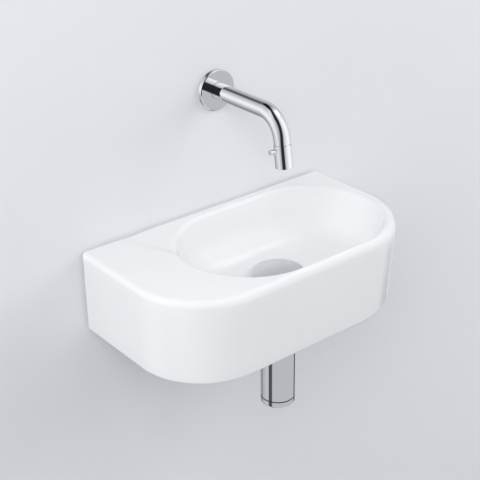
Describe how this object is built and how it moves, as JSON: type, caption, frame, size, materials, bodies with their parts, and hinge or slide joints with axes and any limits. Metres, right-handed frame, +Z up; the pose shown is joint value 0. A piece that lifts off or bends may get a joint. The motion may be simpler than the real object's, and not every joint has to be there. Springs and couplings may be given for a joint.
{
  "type": "wall-hung hand basin with wall tap",
  "caption": "Small wall-hung ceramic hand basin with a shelf beside its oval bowl, a wall tap with a turning nose, a click waste and a bottle trap.",
  "frame": {"origin": "on the wall plane, midway between the two fixing bolts", "axes": "+X along the wall to the bowl's end, +Y into the wall, +Z up"},
  "size_m": [0.4, 0.29, 0.4529],
  "materials": {
    "glazed_ceramic": "gloss",
    "chrome": "polished",
    "brass": "satin",
    "steel": "satin",
    "rubber": "matte",
    "nylon": "matte",
    "acetal": "satin",
    "alumina": "satin"
  },
  "bodies": {
    "fixed": {"basin": "glazed_ceramic", "spout": "chrome", "tap_rosette": "chrome", "waste_body": "chrome", "trap_inlet_nut": "chrome", "trap_dip_tube": "chrome", "trap_gland_nut": "chrome", "trap_bottom_cap": "chrome", "trap_bottle": "chrome", "trap_outlet_nut": "chrome", "trap_outlet_pipe": "chrome", "trap_wall_rosette": "chrome", "tap_tail": "brass", "valve_housing": "brass", "waste_locknut": "brass", "hanger_bolts": "steel", "fixing_washers": "steel", "fixing_nuts": "steel", "nose_clip": "steel", "tap_grub_screw": "steel", "waste_washer": "steel", "waste_flange_seal": "rubber", "waste_cone_seal": "rubber", "trap_inlet_seal": "rubber", "trap_gland_seal": "rubber", "trap_cap_ring": "rubber", "trap_outlet_seal": "rubber", "tap_tail_ring": "rubber", "tap_rosette_ring": "rubber", "nose_ring": "rubber", "fixing_bushes": "nylon", "click_cartridge": "nylon", "fixed_disc": "alumina"},
    "nose": {"nose_sleeve": "chrome", "turning_disc": "alumina", "aerator_seal": "rubber", "aerator_ring": "acetal", "aerator_plate": "acetal", "lever_pin": "chrome"},
    "plug": {"plug_cap": "chrome", "plug_stem": "brass", "plug_seal": "rubber"}
  },
  "joints": [
    {"name": "nose_turn", "type": "hinge", "parent": "fixed", "child": "nose", "pos_m": [0.018, -0.13207, 0.19879], "axis": [0, 0.1392, 0.9903], "range_deg": [0, 90]},
    {"name": "plug_press", "type": "slide", "parent": "fixed", "child": "plug", "axis": [0, 0, 1], "range_m": [-0.0064, 0]}
  ]
}
